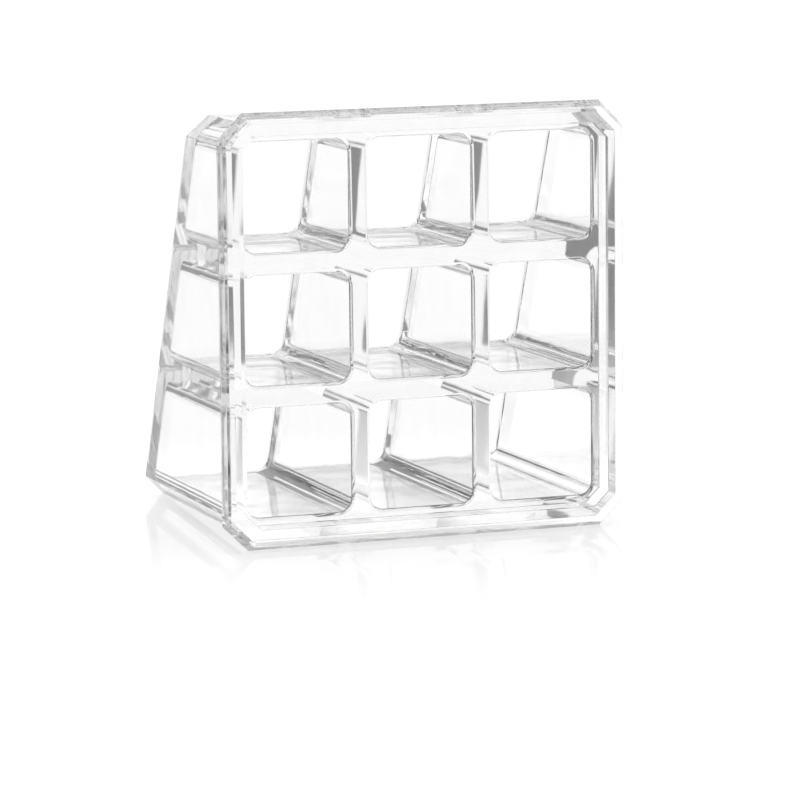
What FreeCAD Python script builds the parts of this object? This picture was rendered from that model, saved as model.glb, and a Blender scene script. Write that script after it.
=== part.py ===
import FreeCAD, Part
import os
import Sketcher

# Lipstick holder of thick clear acrylic: three rows of three open cells behind a bevelled eight-sided
# face frame. The pieces are plates cemented face to face. Every piece is drawn upright, with the front
# of the frame at Y = 0, the cells running back along +Y and the lowest edge of the frame at Z = 0.
# The frame stands proud of the casing on all four sides, the underside too, so the holder rests on the
# frame's bottom edge and on the casing's rear bottom edge, and leans back a little. One placement, the
# same for every piece, gives it that lean and puts the origin at the centre of its footprint.

DRIVING_SIZES = {
    "width": 95.0,  # over the widest outline of the face frame
    "height": 95.8,  # over the same outline, bottom edge to top edge
    "frame_corner": 5.8,  # leg of the cut corner on that outline
    "frame_depth": 3.2,  # from the front face back to that outline
    "bevel_width": 1.1,  # narrow bevel round the front face, seen from the front
    "bevel_depth": 0.4,  # the same bevel, from front to back
    "face_inset": 2.4,  # from the widest outline in to the flat front face, seen from the front
    "rim_width": 2.6,  # flat front face, from its outer edge to the opening
    "opening_corner": 3.2,  # leg of the cut corner of the opening
    "recess_depth": 5.2,  # how far walls, shelves and dividers lie behind the front face
    "lip": 2.4,  # how far the frame stands proud of the casing
    "casing_corner": 4.7,  # leg of the casing's bevelled long corners
    "wall": 4.3,  # thickness of side walls, top wall and base wall
    "divider": 4.4,  # thickness of an upright between two cells
    "shelf": 4.9,  # thickness of a shelf between two rows
    "cell_corner": 3.0,  # radius of the rounded corners that run the whole depth of a cell
    "base_depth": 70.7,  # front face to back of the casing, at the level of the lowest edge
    "back_angle": 23.4,  # how far the back leans forward from upright, in degrees
    "back_panel": 3.0,  # thickness of the back panel, measured along a cell
}

document = FreeCAD.newDocument("lipstick_holder")
sizes = document.addObject("Spreadsheet::Sheet", "Sizes")
for row, (name, size) in enumerate(DRIVING_SIZES.items(), start=1):
    sizes.set(f"A{row}", name)
    sizes.set(f"B{row}", str(size))
    sizes.setAlias(f"B{row}", name)
document.recompute()

# What follows from the driving sizes, as expressions on the sheet.
casing_half = "(Sizes.width / 2 - Sizes.lip)"
casing_bottom = "Sizes.lip"
casing_top = "(Sizes.height - Sizes.lip)"
grid_half = f"({casing_half} - Sizes.wall)"
grid_bottom = f"({casing_bottom} + Sizes.wall)"
grid_top = f"({casing_top} - Sizes.wall)"
cell_width = f"((2 * {grid_half} - 2 * Sizes.divider) / 3)"
cell_height = f"(({grid_top} - {grid_bottom} - 2 * Sizes.shelf) / 3)"
row_floors = {
    "bottom": grid_bottom,
    "middle": f"({grid_bottom} + {cell_height} + Sizes.shelf)",
    "top": f"({grid_top} - {cell_height})",
}

# The lean, which brings the casing's rear bottom edge down to the table.
rear_edge = f"(Sizes.base_depth - {casing_bottom} * tan(Sizes.back_angle))"
lean = f"atan({casing_bottom} / ({rear_edge} - Sizes.frame_depth))"
lift = f"(Sizes.frame_depth * sin({lean}))"
front_most = f"(Sizes.face_inset * sin({lean}))"
rear_most = f"({rear_edge} * cos({lean}) + {casing_bottom} * sin({lean}))"
shift = f"(-({front_most} + {rear_most}) / 2)"

pieces = []


def value(expression):
    """Number that an expression on the sheet stands for."""
    return float(sizes.evalExpression(expression))


def new_piece(name):
    """Empty body with the placement that every piece of the holder shares."""
    body = document.addObject("PartDesign::Body", name)
    body.Label = name
    body.Placement.Rotation = FreeCAD.Rotation(FreeCAD.Vector(-1, 0, 0), 1)
    body.setExpression("Placement.Rotation.Angle", lean)
    body.setExpression("Placement.Base.y", shift)
    body.setExpression("Placement.Base.z", lift)
    pieces.append(body)
    return body


def hollow(start, end, turn):
    """Quarter circle between two points, anticlockwise, hollowed into what the outline encloses."""
    for centre in (FreeCAD.Vector(start.x, end.y, 0), FreeCAD.Vector(end.x, start.y, 0)):
        if turn * (end - start).cross(centre - start).z < 0:
            middle = centre + (start + end - centre * 2) * 0.5**0.5
            return Part.Arc(end, middle, start) if turn > 0 else Part.Arc(start, middle, end)


def outline(body, name, plane, corners, behind="0", rounded=()):
    """Closed sketch through corners, which are pairs of expressions, at a depth behind its plane.

    Each corner that rounded counts starts a cell's rounded corner, which ends at the next one.
    """
    sketch = body.newObject("Sketcher::SketchObject", f"{body.Name}_{name}")
    origin_plane = next(item for item in body.Origin.OriginFeatures if item.Role == plane)
    sketch.AttachmentSupport = (origin_plane, "")
    sketch.MapMode = "FlatFace"
    sketch.setExpression("AttachmentOffset.Base.z", f"-({behind})")
    points = [FreeCAD.Vector(value(across), value(along), 0) for across, along in corners]
    sides = list(zip(points, points[1:] + points[:1]))
    turn = 1 if sum(start.x * end.y - start.y * end.x for start, end in sides) > 0 else -1
    ends = []
    for edge, (start, end) in enumerate(sides):
        sketch.addGeometry(hollow(start, end, turn) if edge in rounded else Part.LineSegment(start, end))
        ends.append((2, 1) if edge in rounded and turn > 0 else (1, 2))
    for edge, (across, along) in enumerate(corners):
        following = (edge + 1) % len(corners)
        joined = Sketcher.Constraint("Coincident", edge, ends[edge][1], following, ends[following][0])
        sketch.addConstraint(joined)
        for direction, expression in (("DistanceX", across), ("DistanceY", along)):
            fix = Sketcher.Constraint(direction, -1, 1, edge, ends[edge][0], value(expression))
            index = sketch.addConstraint(fix)
            sketch.setExpression(f"Constraints[{index}]", expression)
    for edge in rounded:
        fix = Sketcher.Constraint("Radius", edge, value("Sizes.cell_corner"))
        index = sketch.addConstraint(fix)
        sketch.setExpression(f"Constraints[{index}]", "Sizes.cell_corner")
    return sketch


def pad(body, sketch, length):
    """Runs a sketch that faces the front back along the cells."""
    feature = body.newObject("PartDesign::Pad", f"{sketch.Name}_pad")
    feature.Profile = sketch
    feature.Reversed = True
    feature.setExpression("Length", length)
    document.recompute()


def cut(body, sketch):
    """Cuts a sketch through the whole body, both ways, and makes sure that it took something off."""
    before = body.Shape.Volume
    feature = body.newObject("PartDesign::Pocket", f"{sketch.Name}_cut")
    feature.Profile = sketch
    feature.Type = "ThroughAll"
    feature.Midplane = True
    document.recompute()
    if body.Shape.Volume >= before:
        raise RuntimeError(f"{feature.Name} removes nothing")


def octagon(half, bottom, top, corner):
    """Corners of an upright rectangle, symmetric about the middle, with its four corners cut off."""
    right = [
        (f"({half} - {corner})", bottom),
        (half, f"({bottom} + {corner})"),
        (half, f"({top} - {corner})"),
        (f"({half} - {corner})", top),
    ]
    return right + mirrored(right[::-1])


def mirrored(corners):
    """The same corners on the other side of the holder's middle."""
    return [(f"-({across})", up) for across, up in corners]


def frame_outline(inset):
    """Outline of the face frame, drawn in evenly from the widest one."""
    corner = f"(Sizes.frame_corner - {inset} * (2 - sqrt(2)))"
    return octagon(f"(Sizes.width / 2 - {inset})", inset, f"(Sizes.height - {inset})", corner)


def depth_of_back(panel_thickness, height):
    """Depth of the slanted back at a height, less what of the back panel stands behind it."""
    return f"(Sizes.base_depth - {panel_thickness} - {height} * tan(Sizes.back_angle))"


def slanted_cut(body, name, panel_thickness, side):
    """Cuts off what lies on one side of a plane parallel to the slanted back."""
    profile = [
        (depth_of_back(panel_thickness, "0"), "0"),
        (depth_of_back(panel_thickness, "Sizes.height"), "Sizes.height"),
        (side, "Sizes.height"),
        (side, "0"),
    ]
    cut(body, outline(body, name, "YZ_Plane", profile))


def plate(name, section, rounded=()):
    """Piece of the given section that runs from the recess to the back panel, where it is cut slanted."""
    body = new_piece(name)
    sketch = outline(body, "section", "XZ_Plane", section, "Sizes.recess_depth", rounded)
    pad(body, sketch, "Sizes.base_depth")
    slanted_cut(body, "back", "Sizes.back_panel", "2 * Sizes.base_depth")


def make_face_frame():
    """Rim with a flat face, a narrow bevel, flared sides and a collar that meets the casing's front."""
    body = new_piece("face_frame")
    face = outline(body, "face", "XZ_Plane", frame_outline("Sizes.face_inset"))
    bevel_inset = "(Sizes.face_inset - Sizes.bevel_width)"
    bevel = outline(body, "bevel", "XZ_Plane", frame_outline(bevel_inset), "Sizes.bevel_depth")
    widest = outline(body, "widest", "XZ_Plane", frame_outline("0"), "Sizes.frame_depth")
    loft = body.newObject("PartDesign::AdditiveLoft", "face_frame_flare")
    loft.Profile = face
    loft.Sections = [bevel, widest]
    loft.Ruled = True
    collar_corners = octagon(casing_half, casing_bottom, casing_top, "Sizes.casing_corner")
    collar = outline(body, "collar", "XZ_Plane", collar_corners, "Sizes.frame_depth")
    pad(body, collar, "Sizes.recess_depth - Sizes.frame_depth")
    rim = "(Sizes.face_inset + Sizes.rim_width)"
    opening_corners = octagon(
        f"(Sizes.width / 2 - {rim})", rim, f"(Sizes.height - {rim})", "Sizes.opening_corner"
    )
    cut(body, outline(body, "opening", "XZ_Plane", opening_corners))


def make_side_walls():
    """Upright sides that turn in at top and bottom, bevelled outside and rounded inside."""
    joint = f"({grid_half} - Sizes.cell_corner)"
    section = [
        (joint, casing_bottom),
        (f"({casing_half} - Sizes.casing_corner)", casing_bottom),
        (casing_half, f"({casing_bottom} + Sizes.casing_corner)"),
        (casing_half, f"({casing_top} - Sizes.casing_corner)"),
        (f"({casing_half} - Sizes.casing_corner)", casing_top),
        (joint, casing_top),
        (joint, grid_top),
        (grid_half, f"({grid_top} - Sizes.cell_corner)"),
        (grid_half, f"({grid_bottom} + Sizes.cell_corner)"),
        (joint, grid_bottom),
    ]
    plate("right_wall", section, (6, 8))
    plate("left_wall", mirrored(section), (6, 8))


def make_top_and_base():
    """Flat plates between the turned-in ends of the side walls."""
    joint = f"({grid_half} - Sizes.cell_corner)"
    for name, low, high in (("top_wall", grid_top, casing_top), ("base_wall", casing_bottom, grid_bottom)):
        plate(name, [(joint, low), (joint, high), (f"-{joint}", high), (f"-{joint}", low)])


def make_shelves():
    """Shelves whose ends flare out to the cells' rounded corners, where they meet the side walls."""
    run = f"({grid_half} - Sizes.cell_corner)"
    for name, row in (("lower_shelf", "middle"), ("upper_shelf", "top")):
        high = row_floors[row]
        low = f"({high} - Sizes.shelf)"
        right = [
            (run, low),
            (grid_half, f"({low} - Sizes.cell_corner)"),
            (grid_half, f"({high} + Sizes.cell_corner)"),
            (run, high),
        ]
        plate(name, right + mirrored(right[::-1]), (0, 2, 4, 6))


def make_dividers():
    """Two uprights in each row, whose feet and heads flare out to the cells' rounded corners."""
    near = f"({cell_width} / 2)"
    far = f"({near} + Sizes.divider)"
    for row, low in row_floors.items():
        high = f"({low} + {cell_height})"
        section = [
            (f"({near} - Sizes.cell_corner)", low),
            (f"({far} + Sizes.cell_corner)", low),
            (far, f"({low} + Sizes.cell_corner)"),
            (far, f"({high} - Sizes.cell_corner)"),
            (f"({far} + Sizes.cell_corner)", high),
            (f"({near} - Sizes.cell_corner)", high),
            (near, f"({high} - Sizes.cell_corner)"),
            (near, f"({low} + Sizes.cell_corner)"),
        ]
        plate(f"{row}_right_divider", section, (1, 3, 5, 7))
        plate(f"{row}_left_divider", mirrored(section), (1, 3, 5, 7))


def make_back_panel():
    """Slanted plate that closes the cells and shows its bevelled corners behind the casing."""
    body = new_piece("back_panel")
    section = octagon(casing_half, casing_bottom, casing_top, "Sizes.casing_corner")
    sketch = outline(body, "section", "XZ_Plane", section, "Sizes.recess_depth")
    pad(body, sketch, "Sizes.base_depth")
    slanted_cut(body, "inside", "Sizes.back_panel", "0")
    slanted_cut(body, "outside", "0", "2 * Sizes.base_depth")


make_face_frame()
make_side_walls()
make_top_and_base()
make_shelves()
make_dividers()
make_back_panel()
document.recompute()

for item in document.Objects:
    if "Invalid" in item.State or "Error" in item.State:
        raise RuntimeError(f"{item.Name} did not build")
os.makedirs("parts", exist_ok=True)
for piece in pieces:
    if piece.Shape.isNull() or not piece.Shape.isValid():
        raise RuntimeError(f"{piece.Label} has no valid shape")
    piece.Shape.exportStep(f"parts/{piece.Label}.step")
    print(piece.Label, len(piece.Shape.Solids), round(piece.Shape.Volume, 1))
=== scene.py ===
import math

import bmesh
import bpy
from mathutils import Matrix, Vector


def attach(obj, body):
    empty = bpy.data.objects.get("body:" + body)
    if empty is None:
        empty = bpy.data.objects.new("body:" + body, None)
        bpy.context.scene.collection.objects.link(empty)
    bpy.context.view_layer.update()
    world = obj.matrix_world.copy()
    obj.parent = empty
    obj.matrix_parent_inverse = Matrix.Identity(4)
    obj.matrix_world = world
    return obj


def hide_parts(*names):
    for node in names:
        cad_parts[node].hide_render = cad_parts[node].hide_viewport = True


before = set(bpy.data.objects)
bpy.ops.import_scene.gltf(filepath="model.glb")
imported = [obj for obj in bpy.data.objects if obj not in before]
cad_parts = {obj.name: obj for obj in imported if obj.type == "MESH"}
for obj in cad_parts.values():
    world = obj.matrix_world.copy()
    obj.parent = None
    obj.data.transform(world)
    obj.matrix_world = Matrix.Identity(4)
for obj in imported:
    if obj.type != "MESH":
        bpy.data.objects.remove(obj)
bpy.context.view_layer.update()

scene = bpy.context.scene

# Acrylic block
# The holder is made of clear cast acrylic plates. They are cemented with no air between them, so no
# joint shows, and one clear body stands for them all. Every edge is polished and slightly rounded. The
# block is modelled upright, with its front at y = 0, and leant back at the end.
width = 0.0950
height = 0.0958
frame_corner = 0.0058
frame_depth = 0.0032
bevel_width = 0.0011
bevel_depth = 0.0004
face_inset = 0.0024
rim_width = 0.0026
opening_corner = 0.0032
recess_depth = 0.0052
lip = 0.0024
casing_corner = 0.0047
wall = 0.0043
divider = 0.0044
shelf = 0.0049
cell_corner = 0.0030
base_depth = 0.0707
back_angle = math.radians(23.4)
back_panel = 0.0030
edge_radius = 0.0004
mouth_radius = 0.0008
end_radius = 0.0011

casing_half = width / 2 - lip
grid_half = casing_half - wall
grid_floor = lip + wall
cell_width = (2 * grid_half - 2 * divider) / 3
cell_height = (height - 2 * grid_floor - 2 * shelf) / 3
rim = face_inset + rim_width
mitre = 2 - math.sqrt(2)
back_normal = Vector((0, math.cos(back_angle), math.sin(back_angle)))
spare = 0.01  # how far a shape reaches past the surface that will cut it off


def upright(bm, x_low, x_high, z_low, z_high, corner, y, steps=1):
    """Upright rectangle as one face, its corners cut in one step or rounded in several."""
    face = bmesh.ops.create_grid(bm, x_segments=1, y_segments=1, size=0.5)["verts"]
    bmesh.ops.rotate(bm, cent=(0, 0, 0), matrix=Matrix.Rotation(math.radians(90), 3, "X"), verts=face)
    bmesh.ops.scale(bm, vec=(x_high - x_low, 1, z_high - z_low), verts=face)
    bmesh.ops.translate(bm, vec=((x_low + x_high) / 2, y, (z_low + z_high) / 2), verts=face)
    bmesh.ops.bevel(bm, geom=face, offset=corner, offset_type="ABSOLUTE", affect="VERTICES",
                    segments=steps, profile=0.5, material=-1)
    return bm.faces[:][-1]


def run_back(bm, face, depth):
    """Extrudes an upright face straight back by a depth and leaves a closed prism."""
    made = bmesh.ops.extrude_face_region(bm, geom=[face], use_keep_orig=True)["geom"]
    bmesh.ops.translate(bm, vec=(0, depth, 0), verts=[v for v in made if isinstance(v, bmesh.types.BMVert)])


def cut_slanted(bm, thickness):
    """Takes off what lies behind a plane in front of the slanted back, and closes the cut."""
    everything = bm.verts[:] + bm.edges[:] + bm.faces[:]
    cut = bmesh.ops.bisect_plane(bm, geom=everything, plane_co=(0, base_depth - thickness, 0),
                                 plane_no=back_normal, clear_outer=True)["geom_cut"]
    bmesh.ops.holes_fill(bm, edges=[e for e in cut if isinstance(e, bmesh.types.BMEdge)], sides=0)


def as_object(bm, name):
    bmesh.ops.recalc_face_normals(bm, faces=bm.faces)
    mesh = bpy.data.meshes.new(name)
    bm.to_mesh(mesh)
    bm.free()
    made = bpy.data.objects.new(name, mesh)
    scene.collection.objects.link(made)
    return made


# outer skin, as rings from the front face over the bevel and the flared rim to the casing and the back
bm = bmesh.new()
rings = []
for inset, y in ((face_inset, 0), (face_inset - bevel_width, bevel_depth), (0, frame_depth)):
    rings.append(upright(bm, -width / 2 + inset, width / 2 - inset, inset, height - inset,
                         frame_corner - inset * mitre, y))
for y in (frame_depth, base_depth + spare):
    rings.append(upright(bm, -casing_half, casing_half, lip, height - lip, casing_corner, y))
outlines = [ring.edges[:] for ring in rings]
for nearer, farther in zip(outlines, outlines[1:]):
    bmesh.ops.bridge_loops(bm, edges=nearer + farther)
bmesh.ops.delete(bm, geom=rings[1:-1], context="FACES_ONLY")
cut_slanted(bm, 0)
block = as_object(bm, "acrylic_block")

# recess behind the rim
bm = bmesh.new()
run_back(bm, upright(bm, -width / 2 + rim, width / 2 - rim, rim, height - rim, opening_corner, -spare),
         spare + recess_depth)
recess = as_object(bm, "recess_tool")

# nine cells, rounded where they end at the back panel
bm = bmesh.new()
for row in range(3):
    for column in range(3):
        x = -grid_half + column * (cell_width + divider)
        z = grid_floor + row * (cell_height + shelf)
        run_back(bm, upright(bm, x, x + cell_width, z, z + cell_height, cell_corner, recess_depth / 2, 8),
                 base_depth)
cut_slanted(bm, back_panel)
bmesh.ops.recalc_face_normals(bm, faces=bm.faces)
ends = [face for face in bm.faces if face.normal.dot(back_normal) > 0.999]
bmesh.ops.bevel(bm, geom=list({edge for face in ends for edge in face.edges}), offset=end_radius,
                offset_type="OFFSET", affect="EDGES", segments=4, profile=0.5, material=-1)
cells = as_object(bm, "cell_tool")

for tool in (recess, cells):
    cut = block.modifiers.new("cut", "BOOLEAN")
    cut.operation = "DIFFERENCE"
    cut.solver = "EXACT"
    cut.object = tool
bpy.context.view_layer.update()
solid = bpy.data.meshes.new_from_object(block.evaluated_get(bpy.context.evaluated_depsgraph_get()))
block.modifiers.clear()
block.data = solid
for tool in (recess, cells):
    bpy.data.objects.remove(tool)

# mouths of the cells, rounded: the sharp edges that stand out in the plane of the recess's floor
bm = bmesh.new()
bm.from_mesh(solid)
bmesh.ops.remove_doubles(bm, verts=bm.verts, dist=1e-6)
bmesh.ops.dissolve_limit(bm, angle_limit=math.radians(0.5), verts=bm.verts, edges=bm.edges)
mouths = [edge for edge in bm.edges if edge.calc_face_angle_signed() > 1
          and all(abs(vert.co.y - recess_depth) < 1e-5 for vert in edge.verts)]
bmesh.ops.bevel(bm, geom=mouths, offset=mouth_radius, offset_type="OFFSET", affect="EDGES",
                segments=7, profile=0.5, material=-1)
bm.to_mesh(solid)
bm.free()

# leant back until it rests on the rim's bottom edge and the casing's rear bottom edge
rear = base_depth - lip * math.tan(back_angle)
lean = math.atan(lip / (rear - frame_depth))
reach = face_inset * math.sin(lean) + rear * math.cos(lean) + lip * math.sin(lean)
place = Matrix.Translation((0, -reach / 2, frame_depth * math.sin(lean))) @ Matrix.Rotation(-lean, 4, "X")
solid.transform(place)
for polygon in solid.polygons:
    polygon.use_smooth = True

rounding = block.modifiers.new("polished_edges", "BEVEL")
rounding.width = edge_radius
rounding.segments = 3
rounding.limit_method = "ANGLE"
rounding.angle_limit = math.radians(15)
shading = block.modifiers.new("flat_faces", "WEIGHTED_NORMAL")
shading.mode = "FACE_AREA"
shading.weight = 100

# clear acrylic: faint waves in its surface, and a little light lost on a long way through it
waves_per_metre = 55
wave_height = 0.00015
acrylic = bpy.data.materials.new("clear_acrylic")
acrylic.use_nodes = True
tree = acrylic.node_tree
shader = tree.nodes["Principled BSDF"]
shader.inputs["Base Color"].default_value = (1, 1, 1, 1)
shader.inputs["Roughness"].default_value = 0.06
shader.inputs["IOR"].default_value = 1.49
shader.inputs["Transmission Weight"].default_value = 1.0
grain = tree.nodes.new("ShaderNodeTexCoord")
swell = tree.nodes.new("ShaderNodeTexNoise")
swell.inputs["Scale"].default_value = waves_per_metre
swell.inputs["Detail"].default_value = 1
waves = tree.nodes.new("ShaderNodeBump")
waves.inputs["Strength"].default_value = 1
waves.inputs["Distance"].default_value = wave_height
tree.links.new(grain.outputs["Object"], swell.inputs["Vector"])
tree.links.new(swell.outputs["Fac"], waves.inputs["Height"])
tree.links.new(waves.outputs["Normal"], shader.inputs["Normal"])
depth = tree.nodes.new("ShaderNodeVolumeAbsorption")
depth.inputs["Color"].default_value = (0.4, 0.4, 0.4, 1)
depth.inputs["Density"].default_value = 2.7
tree.links.new(depth.outputs["Volume"], tree.nodes["Material Output"].inputs["Volume"])
solid.materials.clear()
solid.materials.append(acrylic)
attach(block, "root")
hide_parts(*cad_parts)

# Table
# Round sheet of white satin acrylic under and in front of the holder. It is a little glossy. Its gloss
# fades out away from the holder, and the sheet itself fades into the white all round.
sheet_centre = (-0.030, -0.090, 0)
sheet_radius = 0.19
sheet_light = 0.755
# painted light: the sheet glows this much brighter where it is seen through the acrylic, lifting the
# holder's shade on it
painted_light_through_acrylic = 1.4
gloss_at_holder = 0.38
bm = bmesh.new()
bmesh.ops.create_circle(bm, cap_ends=True, segments=64, radius=sheet_radius)
bmesh.ops.translate(bm, vec=sheet_centre, verts=bm.verts)
table = as_object(bm, "table")
satin = bpy.data.materials.new("white_satin_sheet")
satin.use_nodes = True
tree = satin.node_tree
tree.nodes.clear()
spot = tree.nodes.new("ShaderNodeTexCoord")


def joined(operation, first, second):
    """Maths node of the present tree, on two inputs that are each a socket or a number."""
    maths = tree.nodes.new("ShaderNodeMath")
    maths.operation = operation
    for given, socket in zip((first, second), maths.inputs):
        if isinstance(given, bpy.types.NodeSocket):
            tree.links.new(given, socket)
        else:
            socket.default_value = given
    return maths.outputs[0]


def nearness(centre):
    """Level that falls from 1 at a point on the sheet to 0 at one sheet radius from it."""
    around = tree.nodes.new("ShaderNodeMapping")
    around.vector_type = "TEXTURE"
    around.inputs["Location"].default_value = centre
    around.inputs["Scale"].default_value = (sheet_radius,) * 3
    fall = tree.nodes.new("ShaderNodeTexGradient")
    fall.gradient_type = "SPHERICAL"
    tree.links.new(spot.outputs["Object"], around.inputs["Vector"])
    tree.links.new(around.outputs["Vector"], fall.inputs["Vector"])
    return fall.outputs["Fac"]


def mixed(share, first, second):
    mix = tree.nodes.new("ShaderNodeMixShader")
    tree.links.new(share, mix.inputs["Fac"])
    tree.links.new(first, mix.inputs[1])
    tree.links.new(second, mix.inputs[2])
    return mix.outputs[0]


matt = tree.nodes.new("ShaderNodeBsdfDiffuse")
matt.inputs["Color"].default_value = (0.85, 0.85, 0.85, 1)
path = tree.nodes.new("ShaderNodeLightPath")
seen = joined("MAXIMUM", path.outputs["Is Camera Ray"], path.outputs["Is Glossy Ray"])
# painted light: a stronger glow for rays that reach the sheet through the acrylic
through = joined("MULTIPLY", path.outputs["Is Transmission Ray"], painted_light_through_acrylic)
pale = tree.nodes.new("ShaderNodeEmission")
tree.links.new(joined("MULTIPLY", joined("MAXIMUM", seen, through), sheet_light), pale.inputs["Strength"])
lit = tree.nodes.new("ShaderNodeAddShader")
tree.links.new(matt.outputs[0], lit.inputs[0])
tree.links.new(pale.outputs[0], lit.inputs[1])
gloss = tree.nodes.new("ShaderNodeBsdfGlossy")
gloss.inputs["Roughness"].default_value = 0.03
gloss_share = joined("MULTIPLY", joined("POWER", nearness((0, 0, 0)), 2), gloss_at_holder)
sheet_edge = tree.nodes.new("ShaderNodeMapRange")
sheet_edge.inputs["From Max"].default_value = 0.45
tree.links.new(nearness(sheet_centre), sheet_edge.inputs["Value"])
clear = tree.nodes.new("ShaderNodeBsdfTransparent")
out = tree.nodes.new("ShaderNodeOutputMaterial")
sheet = mixed(gloss_share, lit.outputs[0], gloss.outputs[0])
tree.links.new(mixed(sheet_edge.outputs[0], clear.outputs[0], sheet), out.inputs["Surface"])
table.data.materials.append(satin)

# Studio light
# White sweep low down all round, white backdrop behind and white softbox overhead, in a dark grey room.
# A dark grey patch low behind the holder, to its left, is a painted shadow: it stands for the holder's
# shadow on the floor there and draws the dark bands in the clear uprights. A grey patch straight below is
# painted shade, the holder's shadow on the floor beneath it, and a grey curtain on the left draws other
# lines. The camera itself sees plain white.
room_grey = 0.18
cast_shadow_grey = 0.26
shade_grey = 0.24
curtain_grey = 0.30
unshaded = 1.2
backdrop_azimuth = math.radians(16)
cast_shadow_azimuth = math.radians(-38)
cast_shadow_elevation = math.radians(-30)
cast_shadow_spread = math.radians(22)
world = bpy.data.worlds.new("studio")
scene.world = world
world.use_nodes = True
tree = world.node_tree
background = tree.nodes["Background"]
background.inputs["Strength"].default_value = 1.0
outlook = tree.nodes.new("ShaderNodeTexCoord")


def pointing(azimuth, elevation):
    """Direction that is turned from straight back to the right, and raised."""
    return Vector((math.sin(azimuth) * math.cos(elevation), math.cos(azimuth) * math.cos(elevation),
                   math.sin(elevation)))


def part_of_room(direction, edge, middle, outside, inside):
    """Grey level of a round part of the room, with a soft edge given as two cosines from its direction."""
    towards = tree.nodes.new("ShaderNodeVectorMath")
    towards.operation = "DOT_PRODUCT"
    towards.inputs[1].default_value = direction
    tree.links.new(outlook.outputs["Generated"], towards.inputs[0])
    level = tree.nodes.new("ShaderNodeMapRange")
    level.inputs["From Min"].default_value = edge
    level.inputs["From Max"].default_value = middle
    level.inputs["To Min"].default_value = outside
    level.inputs["To Max"].default_value = inside
    tree.links.new(towards.outputs["Value"], level.inputs["Value"])
    return level.outputs[0]


backdrop = part_of_room(pointing(backdrop_azimuth, 0), 0.82, 0.88, room_grey, 1.06)
softbox = part_of_room((0, 0, 1), 0.86, 0.92, room_grey, 1.2)
sweep = part_of_room((0, 0, -1), 0.06, 0.12, room_grey, 0.92)
# painted shade: the holder's shadow on the floor straight below it, as a grey patch in the room
shade = part_of_room((0, 0, -1), 0.70, 0.76, unshaded, shade_grey)
curtain = part_of_room((-1, 0, 0), 0.70, 0.78, unshaded, curtain_grey)
# painted shadow: a dark patch low behind the holder, to its left, for the holder's shadow on the floor
# there
cast_shadow = part_of_room(pointing(cast_shadow_azimuth, cast_shadow_elevation), math.cos(cast_shadow_spread),
                    math.cos(cast_shadow_spread * 0.9), unshaded, cast_shadow_grey)
bright = joined("MAXIMUM", joined("MAXIMUM", backdrop, softbox), sweep)
room = joined("MINIMUM", joined("MINIMUM", bright, shade), joined("MINIMUM", cast_shadow, curtain))
path = tree.nodes.new("ShaderNodeLightPath")
tree.links.new(joined("MAXIMUM", room, path.outputs["Is Camera Ray"]), background.inputs["Color"])
scene.view_settings.view_transform = "Standard"
scene.cycles.max_bounces = 32
scene.cycles.transmission_bounces = 32
scene.cycles.glossy_bounces = 16

# Camera
# It stands in front and a little to the left, about a metre away and slightly above the holder. Its place
# was fitted to the corners of the upright block, so it is leant back together with the block.
azimuth = math.radians(20.33)
elevation = math.radians(8.43)
roll = math.radians(-0.55)
target = Vector((-0.00706, 0, 0.03171))
distance = 0.94593
sensor = 36
focal_pixels = 4313.14
picture_pixels = 800
forward = pointing(azimuth, -elevation)
level_right = forward.cross(Vector((0, 0, 1))).normalized()
level_up = level_right.cross(forward)
right = math.cos(roll) * level_right + math.sin(roll) * level_up
up = -math.sin(roll) * level_right + math.cos(roll) * level_up
lens = bpy.data.cameras.new("camera")
lens.sensor_width = sensor
lens.lens = sensor * focal_pixels / picture_pixels
lens.clip_end = 100
camera = bpy.data.objects.new("camera", lens)
scene.collection.objects.link(camera)
pose = Matrix((right, up, -forward)).transposed().to_4x4()
pose.translation = target - forward * distance
camera.matrix_world = place @ pose
scene.camera = camera
